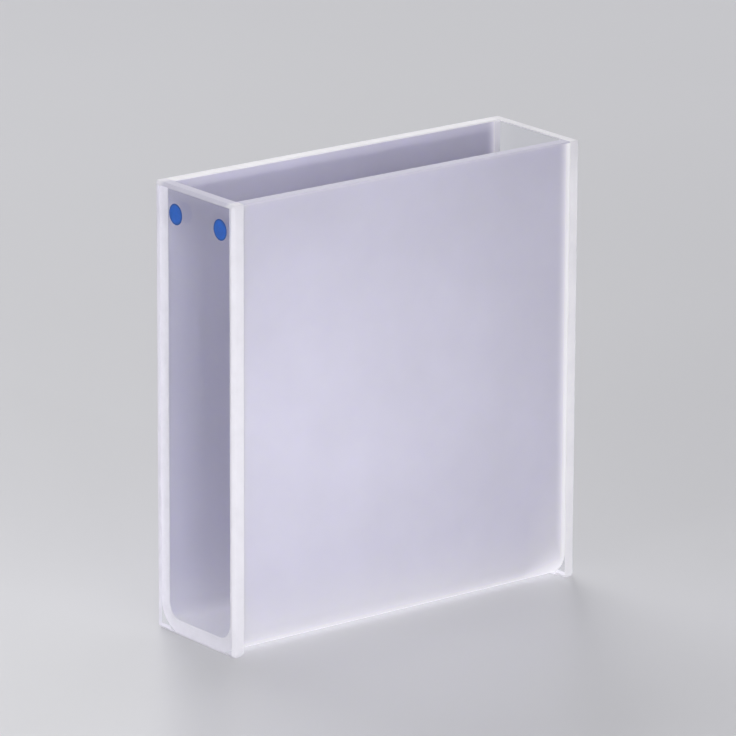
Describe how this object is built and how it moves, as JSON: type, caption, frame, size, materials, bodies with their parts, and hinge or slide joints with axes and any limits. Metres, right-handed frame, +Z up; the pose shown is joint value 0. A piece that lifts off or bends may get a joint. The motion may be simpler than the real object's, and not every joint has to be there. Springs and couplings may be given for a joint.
{
  "type": "optical cuvette",
  "caption": "Open-topped rectangular glass cell with a frosted U-shaped trough and clear end windows, for holding liquid in a light path.",
  "frame": {"origin": "middle of the base, on the surface that the cell stands on", "axes": "+Z up through the open top; X along the light path, with the left window and its dots at -X; Y across the cell"},
  "size_m": [0.0426, 0.0126, 0.045],
  "materials": {
    "frosted_glass": "fine ground, translucent, milky",
    "window_glass": "polished faces, ground white edges",
    "bond_frit": "white fused frit, satin",
    "blue_print": "opaque printed enamel"
  },
  "bodies": {
    "root": {"trough": "frosted_glass", "left_window": "window_glass", "right_window": "window_glass", "left_bond": "bond_frit", "right_bond": "bond_frit", "front_dot": "blue_print", "back_dot": "blue_print"}
  },
  "joints": []
}
